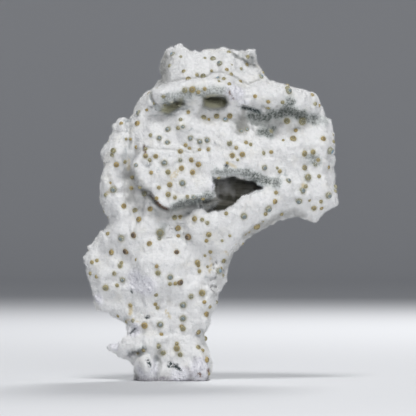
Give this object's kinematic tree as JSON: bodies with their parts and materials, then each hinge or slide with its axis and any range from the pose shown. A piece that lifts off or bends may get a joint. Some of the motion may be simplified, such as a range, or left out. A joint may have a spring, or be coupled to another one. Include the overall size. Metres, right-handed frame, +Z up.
{
  "type": "okenite specimen",
  "caption": "Folded crust of white okenite dotted with small gyrolite balls, hollowed at the front, standing on the flat cut under its broken foot.",
  "frame": {"origin": "centre of the flat cut face under the foot", "axes": "+Z up, the longest way; the front with the hollow faces -Y"},
  "size_m": [0.1266, 0.0661, 0.167],
  "materials": {
    "okenite": "matt white crust of fine fibres, with small grey-blue and golden balls"
  },
  "bodies": {
    "root": {"okenite_specimen": "okenite"}
  },
  "joints": []
}
